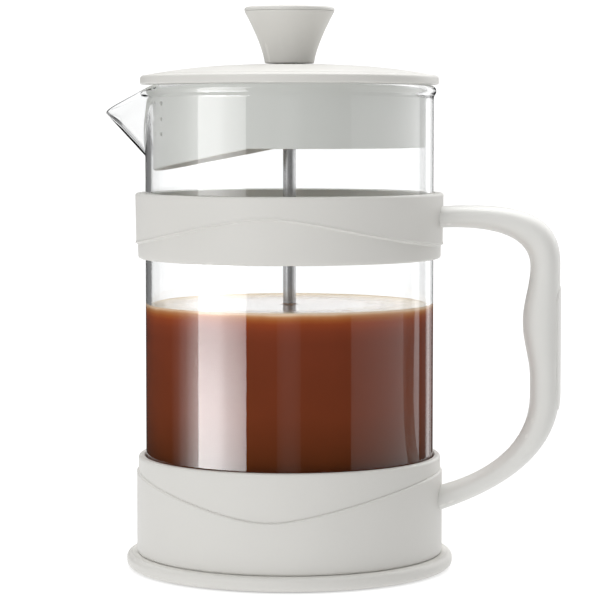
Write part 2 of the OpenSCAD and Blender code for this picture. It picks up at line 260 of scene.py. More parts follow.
class Shader:
    """A new material, or the world, whose nodes are added one by one."""

    def __init__(self, name, world=None):
        self.owner = world or bpy.data.materials.new(name)
        self.owner.use_nodes = True
        self.tree = self.owner.node_tree
        self.tree.nodes.clear()
        self.coordinates = self.add("TexCoord").outputs
        self.place = self.coordinates["Object"]

    def add(self, kind, inputs=None, **settings):
        made = self.tree.nodes.new("ShaderNode" + kind)
        for key, value in settings.items():
            setattr(made, key, value)
        for key, value in (inputs or {}).items():
            if isinstance(value, bpy.types.NodeSocket):
                self.tree.links.new(value, made.inputs[key])
            else:
                made.inputs[key].default_value = value
        return made

    def axes(self):
        return self.add("SeparateXYZ", {"Vector": self.place}).outputs

    def noise(self, size, detail=2.0, stretch=None, distortion=0.0):
        """Noise with features of about size millimetres, from 0 to 1."""
        where = self.place
        if stretch:
            where = self.add("Mapping", {"Vector": where, "Scale": stretch}).outputs[0]
        inputs = {"Vector": where, "Scale": 1 / (size * MM), "Detail": detail}
        return self.add("TexNoise", {**inputs, "Distortion": distortion}).outputs["Fac"]

    def spread(self, value, low, high, source=(0.3, 0.7)):
        """Maps value from the source range to low..high."""
        names = ("Value", "From Min", "From Max", "To Min", "To Max")
        return self.add("MapRange", dict(zip(names, (value, *source, low, high)))).outputs[0]

    def blend(self, share, first, second):
        """A colour between first and second."""
        first, second = ((*v, 1) if isinstance(v, tuple) else v for v in (first, second))
        return self.add("Mix", {0: share, 6: first, 7: second}, data_type="RGBA").outputs[2]

    def math(self, operation, *values):
        return self.add("Math", dict(enumerate(values)), operation=operation).outputs[0]

    def ramp(self, value, stops):
        """A colour ramp through (position, colour) stops."""
        made = self.add("ValToRGB", {"Fac": value})
        marks = made.color_ramp.elements
        while len(marks) < len(stops):
            marks.new(0.5)
        for mark, (position, colour) in zip(marks, stops):
            mark.position = position
            mark.color = (*colour, 1)
        return made.outputs["Color"]

    def bump(self, height, depth_mm, below=None, strength=1.0):
        inputs = {"Height": height, "Distance": depth_mm * MM, "Strength": strength}
        if below is not None:
            inputs["Normal"] = below
        return self.add("Bump", inputs).outputs["Normal"]

    def surface(self, colour, roughness, normal=None, **inputs):
        inputs = {"Base Color": colour, "Roughness": roughness, **inputs}
        if normal is not None:
            inputs["Normal"] = normal
        return self.finish(self.add("BsdfPrincipled", inputs).outputs[0])

    def finish(self, socket):
        self.add("OutputMaterial", {"Surface": socket})
        return self.owner


def scaled(colour, factor):
    return tuple(min(1, v * factor) for v in colour)


def moulded_plastic(name, light, dark, roughness=0.42):
    """Satin moulded plastic: fine grain, faint clouds of colour, edges lightened partly as wear and
    partly as a painted highlight, creases darkened as painted shade.
    """
    s = Shader(name)
    clouds = s.noise(38, detail=3)
    specks = s.noise(1.1, detail=2)
    grain = s.noise(0.32, detail=2)
    sinks = s.noise(16, detail=1)
    base = s.blend(s.spread(clouds, 0, 1), dark, light)
    base = s.blend(s.spread(specks, 0, 0.06), base, scaled(dark, 0.9))
    point = s.add("NewGeometry").outputs["Pointiness"]
    # sharp edges are lightened partly as rubbed wear and partly as a painted highlight
    wear_and_highlight = s.spread(point, 0, 1, (0.52, 0.6))
    base = s.blend(s.math("MULTIPLY", wear_and_highlight, 0.6), base, scaled(light, 1.15))
    # creases, inner corners and seams between parts are darkened as painted shade
    crease = s.spread(point, 1, 0, (0.40, 0.48))
    base = s.blend(s.math("MULTIPLY", crease, 0.5), base, scaled(dark, 0.5))
    rough = s.spread(clouds, roughness - 0.05, roughness + 0.05)
    rough = s.math("SUBTRACT", rough, s.math("MULTIPLY", wear_and_highlight, 0.08))
    normal = s.bump(sinks, 0.05, strength=0.5)
    normal = s.bump(grain, 0.012, normal, strength=0.5)
    return s.surface(base, rough, normal, IOR=1.46)


def polished_steel(name, roughness=0.16, lathe=True):
    """Stainless steel with fine turning marks or rolled grain, and faint stains."""
    s = Shader(name)
    marks = s.noise(2.2, detail=4, stretch=(0.25, 0.25, 9) if lathe else (0.2, 5, 1))
    stains = s.noise(14, detail=3, distortion=0.4)
    base = s.blend(s.spread(stains, 0, 1), (0.50, 0.50, 0.51), (0.60, 0.60, 0.60))
    rough = s.spread(marks, roughness - 0.05, roughness + 0.08)
    return s.surface(base, rough, s.bump(marks, 0.006, strength=0.5), Metallic=1.0)


def brass_metal(name):
    s = Shader(name)
    tarnish = s.noise(3, detail=4)
    base = s.blend(s.spread(tarnish, 0, 1), (0.55, 0.38, 0.13), (0.74, 0.55, 0.24))
    pits = s.bump(s.noise(0.5), 0.01, strength=0.4)
    return s.surface(base, s.spread(tarnish, 0.38, 0.24), pits, Metallic=1.0)


def dull_silicone(name):
    s = Shader(name)
    dust = s.noise(5, detail=4)
    base = s.blend(s.spread(dust, 0, 1), (0.34, 0.34, 0.335), (0.42, 0.42, 0.41))
    grain = s.bump(s.noise(0.4), 0.02, strength=0.6)
    return s.surface(base, s.spread(dust, 0.55, 0.7), grain)


def woven_steel(name, pitch=0.42):
    """Fine steel cloth: two crossing sets of wires that pass over and under each other, painted
    dark where they dip and open, as painted shade.
    """
    s = Shader(name)
    turns = TAU / (pitch * MM)
    waves = [s.math("MULTIPLY", axis, turns) for axis in s.axes()[:2]]
    warp, weft = (s.math("SINE", w) for w in waves)
    over = s.math("MULTIPLY", *(s.math("SINE", s.math("MULTIPLY", w, 0.5)) for w in waves))
    side = s.spread(over, 0, 1, (-0.4, 0.4))
    height = s.math("MAXIMUM", s.math("ADD", warp, side), s.math("SUBTRACT", weft, side))
    # the low parts and openings of the weave are painted dark, as painted shade
    shaded_gaps = s.spread(height, 0, 1, (-0.6, 0.6))
    base = s.blend(shaded_gaps, (0.10, 0.10, 0.10), (0.52, 0.52, 0.53))
    rough = s.spread(s.noise(6), 0.28, 0.42)
    return s.surface(base, rough, s.bump(height, 0.06, strength=0.8), Metallic=1.0)


def clear_glass(name):
    """Borosilicate glass, faintly wavy as blown glass is; soft light and lamps pass through it."""
    s = Shader(name)
    waves = s.noise(26, detail=1)
    smears = s.noise(9, detail=4, distortion=0.6)
    tint = s.blend(s.spread(smears, 0, 1), (0.985, 0.992, 0.992), (0.996, 0.998, 1.0))
    inputs = {"Base Color": tint, "Roughness": 0.0, "Transmission Weight": 1.0, "IOR": 1.47}
    inputs["Normal"] = s.bump(waves, 0.03, strength=0.35)
    glass = s.add("BsdfPrincipled", inputs).outputs[0]
    path = s.add("LightPath")
    open_way = s.add("BsdfTransparent", {"Color": (0.96, 0.975, 0.975, 1)}).outputs[0]
    soft = s.add("MixShader", {0: path.outputs["Is Diffuse Ray"], 1: glass, 2: open_way})
    lamp = s.add("MixShader", {0: path.outputs["Is Shadow Ray"], 1: soft.outputs[0], 2: open_way})
    return s.finish(lamp.outputs[0])


# the coffee's colour by depth, with painted light making it pale near the surface and painted shade
# making it dark lower down, as (share of COFFEE_FADE in millimetres, colour)
COFFEE_FADE = 60
COFFEE_LIGHT_AND_SHADE_TONES = [
    (0.0, (0.74, 0.54, 0.38)), (0.006, (0.62, 0.34, 0.17)), (0.014, (0.46, 0.19, 0.075)),
    (0.03, (0.36, 0.10, 0.027)), (0.052, (0.27, 0.054, 0.018)), (0.095, (0.205, 0.042, 0.017)),
    (0.16, (0.170, 0.036, 0.015)), (0.55, (0.157, 0.034, 0.012)), (0.82, (0.096, 0.023, 0.006)),
]


def coffee_body(name):
    """Milky coffee against the glass, with painted light by depth: pale where light comes in at the
    surface, painted shade that turns it dark lower down.
    """
    s = Shader(name)
    fade = (COFFEE_LEVEL * MM, (COFFEE_LEVEL - COFFEE_FADE) * MM)
    depth = s.spread(s.axes()["Z"], 0, 1, fade)
    drift = s.noise(17, detail=3, distortion=0.5)
    depth = s.math("ADD", depth, s.spread(drift, -0.004, 0.004))
    # the ramp paints light near the surface and shade lower down
    base = s.ramp(depth, COFFEE_LIGHT_AND_SHADE_TONES)
    base = s.blend(s.spread(drift, 0, 0.12), base, (0.06, 0.018, 0.006))
    return s.surface(base, 0.9, IOR=1.0)


def coffee_top(name):
    """The coffee's surface: wet, with pale foam that gets thicker towards the glass."""
    s = Shader(name)
    x, y = s.axes()[:2]
    out = s.math("SQRT", s.math("ADD", s.math("MULTIPLY", x, x), s.math("MULTIPLY", y, y)))
    rim = s.spread(out, 0, 1, ((BORE_R - 17) * MM, BORE_R * MM))
    streaks = s.noise(7, detail=5, distortion=1.6)
    foam = s.math("MULTIPLY", s.spread(streaks, 0, 1, (0.38, 0.62)), s.math("POWER", rim, 1.6))
    ragged = s.math("ADD", out, s.spread(streaks, -0.003, 0.003))
    foam = s.math("MAXIMUM", foam, s.spread(ragged, 0, 1, ((BORE_R - 24) * MM, (BORE_R - 3) * MM)))
    base = s.blend(foam, (0.30, 0.13, 0.05), (0.95, 0.76, 0.54))
    froth = s.math("MULTIPLY", s.noise(0.9, detail=3), s.spread(foam, 0.2, 1, (0, 1)))
    rough = s.spread(foam, 0.03, 0.22, (0, 1))
    return s.surface(base, rough, s.bump(froth, 0.4, strength=0.5), IOR=1.36)


PLASTIC_LIGHT = (0.665, 0.655, 0.625)
PLASTIC_DARK = (0.640, 0.630, 0.600)
plastic = moulded_plastic("warm_grey_plastic", PLASTIC_LIGHT, PLASTIC_DARK)
handle_plastic = moulded_plastic("handle_plastic", (0.70, 0.695, 0.67), (0.68, 0.675, 0.65), 0.38)
turned_steel = polished_steel("polished_steel")
plate_steel = polished_steel("rolled_steel", 0.24, lathe=False)
brass = brass_metal("brass")
silicone = dull_silicone("grey_silicone")
steel_cloth = woven_steel("woven_steel")
glass = clear_glass("clear_glass")
brew = coffee_body("coffee")
brew_top = coffee_top("coffee_surface")


# ---- Frame ----

# the waves round the frame, as in the CAD: lowest height, rise, and how soft the bends are
CUP_WAVE_Z, CUP_WAVE_RISE = 22.2, 14.1
BAND_WAVE_Z, BAND_WAVE_RISE = BAND_Z + 15.15, -12.7
WAVE_BEND = 0.23
# how much smaller the band is in radius at its lower edge
BAND_TAPER = 0.35
# the rings' outer edges are rounded and their inner ones bevelled
EDGE_ROUND, BEVEL = 0.9, 0.4

# the edge along a wave: its height, the share of it that the step takes, and the fine line's
# place, height, and reach below and above that place, as shares of the edge's height
LIP = {"tall": 1.5, "step": 0.42, "at": 0.42, "line": 0.27, "below": 0.15, "above": 0.55}
GROOVE = {"tall": 0.9, "step": 1.0, "at": 0.72, "line": -0.26, "below": 0.3, "above": 0.3}
EDGE_STEPS = 20

DRAIN_R, FLOOR_THICK = 20, 2
SCREW_R, SCREW_HEAD_R, SCREW_SINK = 1.8, 3.8, 2
SCREW_ZS = (25.2, 119.6)


def hump(u):
    """A smooth hump, 1 at 0 and 0 from 1 on to both sides."""
    return np.where(np.abs(u) < 1, (1 + np.cos(math.pi * np.clip(u, -1, 1))) / 2, 0)


def wave(angle, turn_z, rise):
    """Height of a wave round the frame: straight flanks and a soft bend at the front."""
    return turn_z + rise * (np.sqrt(np.cos(angle) ** 2 + WAVE_BEND**2) - WAVE_BEND)


def edge_profile(edge, low_cut, high_cut):
    """(height from the wave, depth behind the plain outside) up the edge along a wave."""
    profile = []
    for k in range(EDGE_STEPS + 1):
        t = k / EDGE_STEPS
        share = smooth_step(t / edge["step"])
        reach = edge["above"] if t > edge["at"] else edge["below"]
        line = hump((t - edge["at"]) / reach) * edge["line"]
        cut_in = low_cut * (1 - share) + high_cut * share
        profile.append((edge["tall"] * (t - 0.5), cut_in - line))
    return profile


def waved_ring(name, z0, z1, radius, taper, turn_z, rise, proud_above):
    """A ring whose outside steps in by WAVE_STEP above or below a wave.

    A fine lip runs along the edge when the part above stands proud, and a groove when it does not.
    """
    angles = np.arange(360) / 360 * TAU
    crest = wave(angles, turn_z, rise)
    edge = LIP if proud_above else GROOVE
    low_cut, high_cut = (WAVE_STEP, 0) if proud_above else (0, WAVE_STEP)
    half = edge["tall"] / 2

    def outside(z, cut_in):
        return radius - taper * (z1 - z) / (z1 - z0) - cut_in, z

    def flank(low, high, cut_in):
        return [outside(low + (high - low) * t, cut_in) for t in (0.02, 0.2, 0.4, 0.6, 0.8, 0.98)]

    low_r = outside(z0, low_cut)[0] - EDGE_ROUND
    high_r = outside(z1, high_cut)[0] - EDGE_ROUND
    rows = [(FRAME_BORE, z0 + BEVEL), (FRAME_BORE + BEVEL, z0), (low_r - SUPPORT, z0)]
    rows += arc(low_r, z0 + EDGE_ROUND, EDGE_ROUND, -90, 0, 7)
    rows += flank(z0 + EDGE_ROUND, crest - half, low_cut)
    rows += [outside(crest + up, cut_in) for up, cut_in in edge_profile(edge, low_cut, high_cut)]
    rows += flank(crest + half, z1 - EDGE_ROUND, high_cut)
    rows += arc(high_r, z1 - EDGE_ROUND, EDGE_ROUND, 0, 90, 7)
    rows += [(high_r - SUPPORT, z1), (FRAME_BORE + BEVEL, z1), (FRAME_BORE, z1 - BEVEL)]
    rows += [(FRAME_BORE, z1 - BEVEL - SUPPORT), (FRAME_BORE, z0 + BEVEL + SUPPORT)]
    faces = grid_faces(len(rows), len(angles), close_rows=True)
    return build_mesh(name, ring_points(rows, angles), faces)


def screw_bore(z):
    """The countersunk hole from the inside of the frame's wall."""
    head_x, lap = FRAME_BORE + 0.2, 0.01
    drills = [
        (FRAME_BORE - 2, head_x, SCREW_HEAD_R),
        (head_x - lap, head_x + SCREW_SINK, (SCREW_HEAD_R, SCREW_R)),
        (head_x + SCREW_SINK - 0.5, BAND_R + 1.5, SCREW_R),
    ]
    return [rods_mesh("bore", [((a, 0, z), (b, 0, z))], r, 40) for a, b, r in drills]


def groove(r, z, slope, flat, depth, foot_fillet):
    """Four corners of a groove in a turned face; a negative slope and flat run inwards."""
    far = r + slope + flat
    foot_z = z + depth
    return [
        (r, z, 0.15), (r + slope, foot_z, foot_fillet),
        (far, foot_z, foot_fillet), (far + slope, z, 0.15),
    ]


def add_foot():
    inner_r, groove_r, groove_z = 43.9, GRIP_RING_R + 0.1, GRIP_RING_TOP + 0.05
    foot = [
        (NEAR_AXIS, FOOT_Z, 0), (inner_r, FOOT_Z, 0.2), (inner_r, groove_z, 0.2),
        (groove_r, groove_z, 0.2), (groove_r, FOOT_Z, 0.3), (FOOT_R, FOOT_Z, 1.8),
        (FOOT_R, FOOT_TOP, 1.9), (NEAR_AXIS, FOOT_TOP, 0),
    ]
    mesh = turned_mesh("foot_plate", rounded(foot, steps=8), 240)
    add_object("foot_plate", mesh, [plastic], "frame", ["foot_ring"])


def add_soft_parts():
    """The ring that the press stands on and the pad under the glass, both with fine grooves."""
    inner_r = 44.0
    ring = [(inner_r, GRIP_RING_TOP, 0.2), (inner_r, GRIP_RING_Z, 0.5)]
    for r in (45.2, 46.7, 48.2):
        ring += groove(r, GRIP_RING_Z, 0.25, 0.3, 0.4, 0.1)
    ring += [(GRIP_RING_R, GRIP_RING_Z, 0.5), (GRIP_RING_R, GRIP_RING_TOP, 0.2)]
    mesh = turned_mesh("non_slip_foot", rounded(ring, steps=3, support=0.03), 240)
    add_object("non_slip_foot", mesh, [silicone], "frame", ["non_slip_ring"])

    pad = [(NEAR_AXIS, CUSHION_Z, 0), (CUSHION_R, CUSHION_Z, 0.3), (CUSHION_R, CUSHION_TOP, 0.4)]
    for r in (34, 28, 22, 16, 10):
        pad += groove(r, CUSHION_TOP, -0.3, -1.0, -0.4, 0.15)
    pad += [(NEAR_AXIS, CUSHION_TOP, 0)]
    mesh = turned_mesh("beaker_cushion", rounded(pad, steps=3, support=0.04))
    add_object("beaker_cushion", mesh, [silicone], "frame", ["glass_cushion"])


def add_cup_and_band():
    wave_line = (CUP_WAVE_Z, CUP_WAVE_RISE)
    wall = waved_ring("base_wall", CUP_Z, CUP_TOP, CUP_R, 0, *wave_line, False)
    wall = cut(wall, screw_bore(SCREW_ZS[0]))
    add_object("base_wall", wall, [plastic], "frame", ["base_cup"])
    low = CUP_Z + 0.02
    top, edge = CUP_Z + FLOOR_THICK, FRAME_BORE + 1
    floor = rounded([(DRAIN_R, low, 0.3), (edge, low, 0), (edge, top, 0), (DRAIN_R, top, 0.5)])
    mesh = turned_mesh("base_floor", floor)
    add_object("base_floor", mesh, [plastic], "frame")

    wave_line = (BAND_WAVE_Z, BAND_WAVE_RISE)
    band = waved_ring("band", BAND_Z, BAND_TOP, BAND_R, BAND_TAPER, *wave_line, True)
    band = cut(band, screw_bore(SCREW_ZS[1]))
    add_object("band", band, [plastic], "frame", ["upper_band"])


# ---- Handle ----

ROOT_X, ARM_TOP, ARM_T, GRIP_T = 50, 123.2, 7.3, 10
GRIP_TOP, GRIP_LOW = ARM_TOP - 19.2, 60
LOW_ROOT, LOW_ROOT_T = 19.4, 8.4
ROOT_W, GRIP_W = 14.6, 18
SWELL, SWELL_Z, SWELL_HALF = 2.5, 84.5, 19
SECTION_POWER = 2 / 2.35
PAD_PROUD, PAD_SINK = 0.35, 1.2


def bezier(points, t):
    a, b, c, d = (np.array(p, float) for p in points)
    t = t[:, None]
    return (1 - t) ** 3 * a + 3 * t * (1 - t) ** 2 * b + 3 * t * t * (1 - t) * c + t**3 * d


def handle_side(s, upper, grip, lower):
    """One side's points: the arm's curve (s to 1), the grip (to 2) and the lower curve (to 3)."""
    top, low = bezier(upper, np.clip(s, 0, 1)), bezier(lower, np.clip(s - 2, 0, 1))
    s = s[:, None]
    return np.where(s < 1, top, np.where(s < 2, grip, low))


def handle_sides(s):
    """The handle's outer and inner side in its plane, on the CAD's control points."""
    x, down = HANDLE_REACH, np.clip(s - 1, 0, 1)
    z = GRIP_TOP + (GRIP_LOW - GRIP_TOP) * down
    outer = handle_side(
        s,
        [(ROOT_X, ARM_TOP), (x - 16, ARM_TOP + 1.6), (x, ARM_TOP - 0.7), (x, GRIP_TOP)],
        np.stack([np.full_like(z, x), z], 1),
        [(x, GRIP_LOW), (x - 0.5, GRIP_LOW - 20), (x - 18, LOW_ROOT + 8.1), (ROOT_X, LOW_ROOT)],
    )
    x, under, over = HANDLE_REACH - GRIP_T, ARM_TOP - ARM_T, LOW_ROOT + LOW_ROOT_T
    z = GRIP_TOP - 1 + (GRIP_LOW - GRIP_TOP + 1) * down
    inner = handle_side(
        s,
        [(ROOT_X, under), (x - 16, under + 1), (x, under - 1), (x, GRIP_TOP - 1)],
        np.stack([x - SWELL * hump((z - SWELL_Z) / SWELL_HALF), z], 1),
        [(x, GRIP_LOW), (x, GRIP_LOW - 17), (x - 14, over + 4.7), (ROOT_X, over)],
    )
    return outer, inner


def handle_points(rings, sides):
    """Rings of points along the handle, each a rounded rectangle."""
    s = np.linspace(0, 3, rings)
    outer, inner = handle_sides(s)
    middle = (outer + inner) / 2
    half = np.linalg.norm(outer - inner, axis=1) / 2
    along = (outer - inner) / (2 * half)[:, None]
    width = (ROOT_W + (GRIP_W - ROOT_W) * hump((s - 1.5) / 1.5)) / 2
    t = np.arange(sides) / sides * TAU
    across, beside = (np.sign(v) * np.abs(v) ** SECTION_POWER for v in (np.cos(t), np.sin(t)))
    points = []
    for j in range(rings):
        u, v = across * half[j], beside * width[j]
        points += list(zip(middle[j, 0] + along[j, 0] * u, v, middle[j, 1] + along[j, 1] * u))
    return points


def pad_outline(inset):
    """The pad's long outline with round ends, in the YZ plane."""
    half = PAD_HALF - inset
    top = arc(0, PAD_TOP - PAD_HALF, half, 0, 180, 17)
    return top + arc(0, PAD_Z + PAD_HALF, half, 180, 360, 17)


def pad_cutter():
    """The block that cuts the pad's recess into the grip's back."""
    outline = pad_outline(0)
    count = len(outline)
    prism = [(HANDLE_REACH + x, y, z) for x in (-1.5, 3) for y, z in outline]
    faces = grid_faces(2, count)
    faces += [tuple(range(count)), tuple(range(2 * count - 1, count - 1, -1))]
    return build_mesh("pad_cut", prism, faces)


def add_pad(grip):
    """The pad follows the grip's back, a little proud, with a rounded border."""
    rows = [(0.55, -PAD_SINK), (0.12, -PAD_SINK), (0.12, -0.1), (0.16, 0.12)]
    rows += [(0.3, 0.26), (0.5, PAD_PROUD - 0.02)]
    rows += [(inset, PAD_PROUD) for inset in (0.8, 1.6, 2.6, 3.8, 5.2)]
    points = []
    for inset, lift in rows:
        for y, z in pad_outline(inset):
            hit = grip.ray_cast(Vector((HANDLE_REACH + 10, y, z)), Vector((-1, 0, 0)))[0]
            points.append((hit.x + lift, y, z))
    count = len(points) // len(rows)
    faces = grid_faces(len(rows), count)
    faces += [tuple(range(count)), tuple(range(len(points) - count, len(points)))]
    mesh = build_mesh("grip_pad", points, faces, 40)
    add_object("grip_pad", mesh, [handle_plastic], "frame", ["handle_pad"])


def add_handle():
    rings, sides = 260, 96
    points = handle_points(rings, sides)
    faces = grid_faces(rings, sides)
    ends = [tuple(range(sides - 1, -1, -1)), tuple(range((rings - 1) * sides, rings * sides))]
    mesh = cut(build_mesh("handle_loop", points, faces + ends, 50), [pad_cutter()], 50)
    add_object("handle_loop", mesh, [handle_plastic], "frame", ["handle"])
    add_pad(BVHTree.FromPolygons([Vector(p) for p in points], faces))


# ---- Beaker ----

SPOUT_SLOPE, SPOUT_SPREAD = 0.942, 1.235
SPOUT_FOOT, SPOUT_WALL = 82.04, 2.95
SPOUT_FINE = 0.62
TIP_R, TIP_Z, TIP_SOFT = 63.2, 154.2, 0.05
# how far the mouth's edge runs back, sideways and up from the tip to where it meets the rim
MOUTH_BACK, MOUTH_SIDE, MOUTH_RISE = 19.2, 21.5, 8.1
LIP_HALF = 0.5
BEAD_START, BEAD_FILLET = -35, 1.42
RIM_ROUND = 0.8
WALL_LOW_Z, WALL_STEPS = 132.0, 46
CORNER_OUT, CORNER_IN = 6, 4.2


def soften(u, soft):
    """The size of u, rounded near zero."""
    return np.sqrt(u**2 + soft**2) - soft


def spout_radius(turn, z, inset):
    """Radius of the spout's two flat sides at an angle from the keel."""
    spread = soften(np.sin(turn), TIP_SOFT)
    return (SPOUT_SLOPE * z - SPOUT_FOOT - inset) / (np.cos(turn) + SPOUT_SPREAD * spread)


def glass_wall(turn, z, inset=0.0):
    """Radius of the glass's outside, or of its inside where the spout's wall is inset."""
    wide = np.abs(turn) < 1.2
    plain = BORE_R if inset else GLASS_R
    spout = np.where(wide, spout_radius(np.where(wide, turn, 0), z, inset), -1e3)
    return np.where(spout > plain - 6, smooth_max(plain, spout, 0.7), plain)


def beaker_turns():
    """Angles round the beaker from the spout's keel, closer together at the spout."""
    fine = np.linspace(-SPOUT_FINE, SPOUT_FINE, 181)
    coarse = np.linspace(SPOUT_FINE, TAU - SPOUT_FINE, 182)[1:-1]
    turn = np.concatenate([fine, coarse])
    return np.where(turn > math.pi, turn - TAU, turn)


def mouth_height(turn):
    """Height of the spout's edge, which falls from both sides to the tip."""
    bend = np.abs(np.tan(np.clip(turn, -0.6, 0.6)))
    share = TIP_R * bend / (MOUTH_SIDE + MOUTH_BACK * bend)
    return TIP_Z + MOUTH_RISE * np.clip(soften(share, TIP_SOFT), 0, 1.05)


def plain_rim():
    """The rim away from the spout: a fillet, the bead, over the top and down to the bore."""
    bead = arc(GLASS_R + BEAD_OUT - BEAD_R, RIM_Z - BEAD_R, BEAD_R, BEAD_START, 90, 15)
    out, z = bead[0][0] - GLASS_R, bead[0][1] - BEAD_FILLET
    fillet = [(GLASS_R + out * s * s, z + BEAD_FILLET * s) for s in (0, 0.2, 0.4, 0.6, 0.8)]
    return fillet + bead + arc(BORE_R + RIM_ROUND, RIM_Z - RIM_ROUND, RIM_ROUND, 100, 180, 8)


def rim_rows(turn):
    """Rows over the rim, where the bead thins into the round lip of the spout."""
    plain = plain_rim()
    z_end, step = mouth_height(turn), 0.5
    r_end = glass_wall(turn, z_end)
    slope = (r_end - glass_wall(turn, z_end - step)) / step
    size = np.sqrt(1 + slope**2)
    up, out = (slope / size, 1 / size), (1 / size, -slope / size)
    beside = smooth_step((np.degrees(np.abs(turn)) - 19) / 12)
    rows = []
    for k, bead in enumerate(plain):
        a = math.pi * k / (len(plain) - 1)
        lip = [
            end - LIP_HALF * o + LIP_HALF * (math.cos(a) * o + math.sin(a) * u)
            for end, o, u in zip((r_end, z_end), out, up)
        ]
        rows.append(tuple(beside * b + (1 - beside) * v for b, v in zip(bead, lip)))
    return rows


def add_glass():
    turn = beaker_turns()
    rim = rim_rows(turn)
    rows = arc(GLASS_R - CORNER_OUT, GLASS_Z + CORNER_OUT, CORNER_OUT, -90, 0, 10)
    rows += [(GLASS_R, z) for z in (GLASS_Z + CORNER_OUT + 2, 60, 100, WALL_LOW_Z)]
    for k in range(1, WALL_STEPS):
        z = WALL_LOW_Z + (rim[0][1] - WALL_LOW_Z) * k / WALL_STEPS
        rows.append((glass_wall(turn, z), z))
    rows += rim
    for k in range(WALL_STEPS - 1, 0, -1):
        z = WALL_LOW_Z + (rim[-1][1] - WALL_LOW_Z) * k / WALL_STEPS
        thin = smooth_step((k / WALL_STEPS - 0.8) / 0.2)
        inset = SPOUT_WALL + (2.7 * LIP_HALF - SPOUT_WALL) * thin
        rows.append((glass_wall(turn, z, inset), z))
    rows += [(BORE_R, z) for z in (WALL_LOW_Z, 100, 60, GLASS_FLOOR + CORNER_IN + 2)]
    rows += arc(BORE_R - CORNER_IN, GLASS_FLOOR + CORNER_IN, CORNER_IN, 0, -90, 10)
    points = ring_points(rows, turn + math.pi) + [(0, 0, GLASS_Z), (0, 0, GLASS_FLOOR)]
    faces = grid_faces(len(rows), len(turn)) + end_fans(len(rows), len(turn))
    mesh = build_mesh("beaker_glass", points, faces, 70)
    add_object("beaker_glass", mesh, [glass], "beaker", ["glass_beaker"])


def add_coffee():
    """Coffee fills the beaker; its side laps into the glass so that no air shows between them."""
    lap = 0.12
    outline = [(0, GLASS_FLOOR - lap), (BORE_R - CORNER_IN - 1, GLASS_FLOOR - lap)]
    outline += arc(BORE_R - CORNER_IN, GLASS_FLOOR + CORNER_IN, CORNER_IN + lap, -90, 0, 9)
    outline += [(BORE_R + lap, z) for z in np.linspace(30, COFFEE_LEVEL - 1, 12)]
    outline.append((BORE_R + lap, COFFEE_LEVEL + CLIMB))
    # the surface climbs the glass and the rod
    for t in (0, 0.15, 0.35, 0.6, 0.9, 1.3, 1.9, 2.7, 4):
        outline.append((BORE_R - t, COFFEE_LEVEL + CLIMB * math.exp(-t / 0.7)))
    outline += [(r, COFFEE_LEVEL) for r in (36, 24, 14)]
    for t in (4, 2.5, 1.6, 1.1, 0.75, 0.5, 0.3, 0.15, 0):
        outline.append((ROD_R + t, COFFEE_LEVEL + ROD_CLIMB * math.exp(-t / 0.6)))
    outline.append((0, COFFEE_LEVEL + ROD_CLIMB))
    mesh = turned_mesh("coffee_fill", outline, closed=False, sharp=60)
    centre_z = np.array([p.center.z for p in mesh.polygons]) / MM
    normal_z = np.array([p.normal.z for p in mesh.polygons])
    top = (centre_z > COFFEE_LEVEL - 0.3) & (normal_z > 0.2)
    mesh.polygons.foreach_set("material_index", top.astype(int))
    add_object("coffee_fill", mesh, [brew, brew_top], "beaker")


# ---- Lid ----

# the dome's fall from the middle to the skirt, as in the CAD
DOME_FALL, DOME_R, DOME_POWER = 3.2, 46.3, 2.6
DOME_THICK, RIM_GAP, SEAT_H = 2.2, 0.3, 1.2
HUB_R, HUB_BORE = 8.5, 4.55
SKIRT_WALL, SKIRT_SHORT, SKIRT_SLOPE_X = 1.6, 21, -7
HOLE_R, HOLE_PITCH, HOLE_COLUMNS = 0.75, 8.5, 9
HOLE_DROPS = (6.2, 11.4, 16.4)


def dome(r):
    """Height of the lid's top at a distance from the axis."""
    return LID_TOP - DOME_FALL * (r / DOME_R) ** DOME_POWER


def add_lid():
    low = RIM_Z + RIM_GAP
    shoulder = LID_TOP - DOME_FALL - 0.4
    seat_r, seat_z, under_r = SKIRT_R + 0.3, low + SEAT_H, SKIRT_R - 3
    corners = [(HUB_BORE, HUB_Z, 0.2), (HUB_R, HUB_Z, 0.5)]
    corners += [(r, dome(r) - DOME_THICK, 0) for r in np.linspace(HUB_R, under_r, 7)]
    corners += [
        (under_r, seat_z, 0), (seat_r, seat_z, 0), (seat_r, low, 0.2),
        (LID_R, low, 0.55), (LID_R, shoulder - 0.35, 1.15),
        # the fine groove round the dome
        (47.7, shoulder + 0.1, 0.25), (47.1, shoulder - 0.35, 0.15), (46.4, shoulder + 0.35, 0.3),
    ]
    corners += [(r, dome(r), 0) for r in np.linspace(45, 7, 22)]
    corners.append((HUB_BORE, dome(HUB_BORE), 0.25))
    mesh = turned_mesh("lid_dome", rounded(corners, support=0.08), 240, sharp=50)
    add_object("lid_dome", mesh, [plastic], "lid", ["lid_cover"])


def strainer_holes(inner_r):
    """Ends of the rods that drill the strainer holes, centred on the spout."""
    ends = []
    for drop in HOLE_DROPS:
        up = Vector((0, 0, RIM_Z - drop))
        for i in range(HOLE_COLUMNS):
            a = math.radians(180 + HOLE_PITCH * (i - HOLE_COLUMNS // 2))
            way = Vector((math.cos(a), math.sin(a), 0))
            ends.append((way * (inner_r - 2) + up, way * (SKIRT_R + 2) + up))
    return ends


